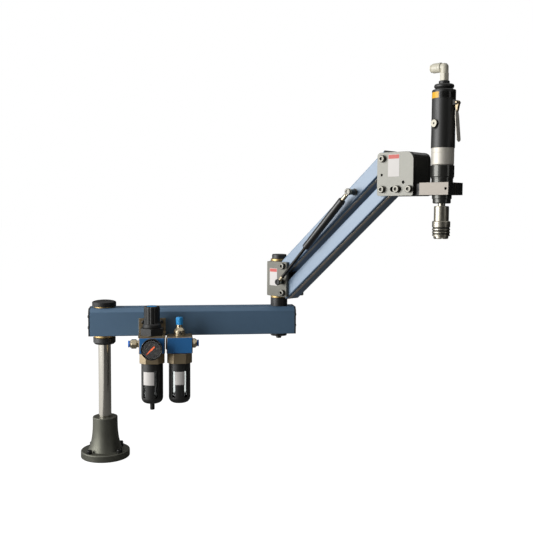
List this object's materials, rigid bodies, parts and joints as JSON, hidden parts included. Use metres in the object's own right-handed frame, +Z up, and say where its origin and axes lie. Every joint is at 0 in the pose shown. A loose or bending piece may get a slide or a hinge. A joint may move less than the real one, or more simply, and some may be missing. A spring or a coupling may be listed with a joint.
{
  "type": "arm tapping machine",
  "caption": "Pneumatic arm tapping machine: flanged post, swinging level arm with air preparation unit, balanced parallelogram lifting arm and upright air tapping motor.",
  "frame": {"origin": "centre of the base flange's bolt circle, on the flange's underside", "axes": "+Z up the post, +X along the level arm from the post to the elbow, -Y the side that carries the air unit"},
  "size_m": [0.8528, 0.4868, 0.9506],
  "materials": {
    "cast_dark": "satin paint over a rough casting",
    "post_steel": "ground",
    "black_metal": "black oxide",
    "arm_blue": "satin powder coat",
    "beam_blue": "satin powder coat",
    "bronze": "turned",
    "spindle_steel": "ground",
    "zinc_bracket": "plated sheet",
    "zinc_body": "die cast",
    "plate_blue": "gloss",
    "black_plastic": "matt",
    "clear_plastic": "clear",
    "gauge_black": "satin",
    "needle_orange": "painted",
    "nickel_fitting": "nickel plated",
    "ring_blue": "gloss",
    "cap_blue": "gloss",
    "elbow_grey": "satin paint",
    "head_grey": "satin",
    "bolt_steel": "dark",
    "core_black": "black anodised",
    "bracket_grey": "machined",
    "cap_plastic": "matt",
    "cylinder_black": "gloss",
    "rod_chrome": "polished",
    "ring_black": "satin",
    "gear_steel": "turned",
    "motor_black": "satin paint",
    "lever_steel": "dark",
    "button_silver": "turned",
    "chuck_steel": "turned",
    "cream_plastic": "gloss"
  },
  "bodies": {
    "base": {"base_casting": "cast_dark", "post": "post_steel", "stop_collar": "black_metal", "top_cap": "black_metal"},
    "level_arm": {"arm_tube": "arm_blue", "post_bushes": "bronze", "end_plates": "black_metal", "arm_screws": "black_metal", "elbow_spindle": "spindle_steel", "elbow_sleeve": "black_metal", "elbow_cap": "black_metal", "foot_washer": "black_metal", "foot_bolt": "black_metal", "air_bracket": "zinc_bracket", "regulator_body": "zinc_body", "lubricator_body": "zinc_body", "face_plates": "plate_blue", "bonnet": "black_plastic", "filter_guard": "black_metal", "lubricator_guard": "black_metal", "clear_bowls": "clear_plastic", "gauge_case": "gauge_black", "gauge_lens": "clear_plastic", "inlet_fitting": "nickel_fitting", "outlet_fitting": "nickel_fitting", "sight_neck": "zinc_body"},
    "knob": {"regulator_knob": "black_plastic"},
    "needle": {"gauge_needle": "needle_orange"},
    "drain": {"drain_valve": "black_plastic"},
    "oil_cap": {"sight_cap": "cap_blue"},
    "inlet_ring": {"inlet_collet": "ring_blue"},
    "outlet_ring": {"outlet_collet": "ring_blue"},
    "elbow": {"elbow_block": "elbow_grey", "elbow_bushes": "bronze", "elbow_near_plate": "elbow_grey", "elbow_far_plate": "elbow_grey", "elbow_pivot_bolts": "bolt_steel"},
    "upper_link": {"upper_beam": "beam_blue", "upper_beam_caps": "cap_plastic", "spring_top_stud": "bolt_steel"},
    "lower_link": {"lower_beam": "beam_blue", "lower_beam_caps": "cap_plastic"},
    "gas_cylinder": {"spring_cylinder": "cylinder_black"},
    "gas_rod": {"spring_rod": "rod_chrome", "spring_low_stud": "bolt_steel"},
    "head": {"head_near_plate": "head_grey", "head_far_plate": "head_grey", "head_core": "core_black", "head_bolts": "bolt_steel", "tool_bracket": "bracket_grey", "gear_ring": "ring_black", "gear_housing": "gear_steel", "motor_body": "motor_black", "clamp_ring": "ring_black"},
    "lever": {"throttle_lever": "lever_steel"},
    "button": {"push_button": "button_silver"},
    "chuck": {"chuck_body": "chuck_steel"},
    "sleeve": {"chuck_sleeve": "chuck_steel"},
    "hose_elbow": {"air_elbow": "cream_plastic"},
    "hose_ring": {"air_collet": "cream_plastic"}
  },
  "joints": [
    {"name": "post_swing", "type": "hinge", "parent": "base", "child": "level_arm", "pos_m": [0, 0, 0.35], "axis": [0, 0, 1], "continuous": true},
    {"name": "elbow_swing", "type": "hinge", "parent": "level_arm", "child": "elbow", "pos_m": [0.45, 0, 0.46], "axis": [0, 0, 1], "range_deg": [-68, 172]},
    {"name": "lift", "type": "hinge", "parent": "elbow", "child": "upper_link", "pos_m": [0.4777, -0.03546, 0.493], "axis": [-0.788, -0.6157, 0], "range_deg": [-65, 15]},
    {"name": "lower_fold", "type": "hinge", "parent": "elbow", "child": "lower_link", "pos_m": [0.4777, -0.03546, 0.425], "axis": [-0.788, -0.6157, 0], "range_deg": [-65, 15]},
    {"name": "head_level", "type": "hinge", "parent": "upper_link", "child": "head", "pos_m": [0.66635, -0.27692, 0.75011], "axis": [-0.788, -0.6157, 0], "range_deg": [-15, 65]},
    {"name": "spring_swing", "type": "hinge", "parent": "upper_link", "child": "gas_cylinder", "pos_m": [0.57673, -0.23758, 0.6778], "axis": [-0.788, -0.6157, 0], "range_deg": [-0.9, 3.6]},
    {"name": "spring_stroke", "type": "slide", "parent": "gas_cylinder", "child": "gas_rod", "axis": [-0.4336, 0.555, -0.7099], "range_m": [-0.0386, 0.009]},
    {"name": "regulator_turn", "type": "hinge", "parent": "level_arm", "child": "knob", "pos_m": [0.122, -0.075, 0.37], "axis": [0, 0, -1], "range_deg": [0, 1080]},
    {"name": "needle_turn", "type": "hinge", "parent": "level_arm", "child": "needle", "pos_m": [0.122, -0.124, 0.2969], "axis": [0, 1, 0], "range_deg": [0, 270]},
    {"name": "drain_turn", "type": "hinge", "parent": "level_arm", "child": "drain", "pos_m": [0.122, -0.075, 0.145], "axis": [0, 0, 1], "range_deg": [0, 90]},
    {"name": "oil_cap_turn", "type": "hinge", "parent": "level_arm", "child": "oil_cap", "pos_m": [0.1896, -0.075, 0.355], "axis": [0, 0, -1], "range_deg": [0, 720]},
    {"name": "inlet_ring_push", "type": "slide", "parent": "level_arm", "child": "inlet_ring", "axis": [1, 0, 0], "range_m": [0, 0.0015], "stiffness_N_per_m": 300},
    {"name": "outlet_ring_push", "type": "slide", "parent": "level_arm", "child": "outlet_ring", "axis": [-1, 0, 0], "range_m": [0, 0.0015], "stiffness_N_per_m": 300},
    {"name": "throttle", "type": "hinge", "parent": "head", "child": "lever", "pos_m": [0.76932, -0.40418, 0.86301], "axis": [0.7314, 0.682, 0], "range_deg": [0, 5.5], "stiffness_Nm_per_rad": 0.6},
    {"name": "button_push", "type": "slide", "parent": "head", "child": "button", "axis": [0.9063, 0.4226, 0], "range_m": [0, 0.003], "stiffness_N_per_m": 600},
    {"name": "spindle_spin", "type": "hinge", "parent": "head", "child": "chuck", "pos_m": [0.7475, -0.38078, 0.62], "axis": [0, 0, -1], "continuous": true},
    {"name": "sleeve_slide", "type": "slide", "parent": "chuck", "child": "sleeve", "axis": [0, 0, 1], "range_m": [0, 0.004], "stiffness_N_per_m": 500},
    {"name": "hose_swivel", "type": "hinge", "parent": "head", "child": "hose_elbow", "pos_m": [0.7475, -0.38078, 0.92], "axis": [0, 0, 1], "continuous": true},
    {"name": "hose_ring_push", "type": "slide", "parent": "hose_elbow", "child": "hose_ring", "axis": [0.6157, -0.788, 0], "range_m": [0, 0.0015], "stiffness_N_per_m": 300}
  ],
  "couplings": [
    {"joint": "lower_fold", "follows": "lift", "ratio": 1},
    {"joint": "head_level", "follows": "lift", "ratio": -1},
    {"joint": "spring_swing", "follows": "lift", "ratio": -0.0525},
    {"joint": "spring_stroke", "follows": "lift", "m_per_rad": 0.0336},
    {"joint": "needle_turn", "follows": "regulator_turn", "ratio": 0.25}
  ]
}
